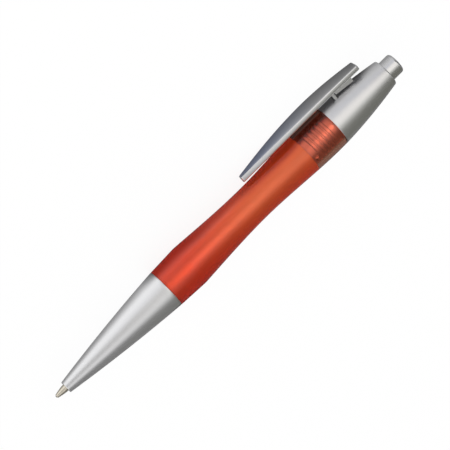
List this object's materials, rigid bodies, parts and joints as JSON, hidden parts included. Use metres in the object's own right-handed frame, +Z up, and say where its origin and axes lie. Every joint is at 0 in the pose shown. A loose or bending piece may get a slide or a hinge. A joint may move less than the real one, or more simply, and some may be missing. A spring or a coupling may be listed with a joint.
{
  "type": "ballpoint pen",
  "caption": "Push-button ballpoint pen with a silver nose cone and cap, a waisted clear red barrel and a lever clip.",
  "frame": {"origin": "bottom centre of the pen's box as it lies, on the surface that it rests on", "axes": "+X along the pen from the point to the button, +Y to the side that the clip is on, +Z up"},
  "size_m": [0.14, 0.0178, 0.0137],
  "materials": {
    "silver_nose": "satin silver lacquer on plastic",
    "red_barrel": "frosted clear orange-red",
    "silver_cap": "satin silver lacquer on plastic",
    "silver_clip": "satin silver lacquer on plastic",
    "silver_button": "satin silver lacquer on plastic",
    "white_cam": "natural moulded",
    "steel_spring": "drawn wire",
    "clear_tube": "translucent moulded",
    "blue_ink": "paste",
    "grease": "paste",
    "nickel_point": "turned and plated",
    "ball_metal": "polished"
  },
  "bodies": {
    "casing": {"nose_cone": "silver_nose", "barrel": "red_barrel", "upper_cap": "silver_cap", "cam_sleeve": "white_cam", "return_spring": "steel_spring"},
    "refill": {"refill_tube": "clear_tube", "ink_column": "blue_ink", "grease_plug": "grease", "point_body": "nickel_point", "point_ball": "ball_metal"},
    "rotor": {"cam_rotor": "white_cam"},
    "button": {"push_button": "silver_button", "cam_plunger": "white_cam"},
    "clip": {"clip": "silver_clip"}
  },
  "joints": [
    {"name": "refill_slide", "type": "slide", "parent": "casing", "child": "refill", "axis": [1, 0, 0], "range_m": [-0.0012, 0.0055], "deforming": ["return_spring"]},
    {"name": "rotor_slide", "type": "slide", "parent": "casing", "child": "rotor", "axis": [1, 0, 0], "range_m": [-0.0012, 0.0055]},
    {"name": "button_slide", "type": "slide", "parent": "casing", "child": "button", "axis": [1, 0, 0], "range_m": [-0.0012, 0.0055]},
    {"name": "clip_lever", "type": "hinge", "parent": "casing", "child": "clip", "pos_m": [0.04895, 0.00323, 0.00509], "axis": [0, -0.3156, -0.9489], "range_deg": [0, 3.2], "stiffness_Nm_per_rad": 0.2, "springref_deg": -1.15}
  ],
  "couplings": [
    {"joint": "rotor_slide", "follows": "refill_slide", "ratio": 1},
    {"joint": "button_slide", "follows": "refill_slide", "ratio": 1}
  ]
}
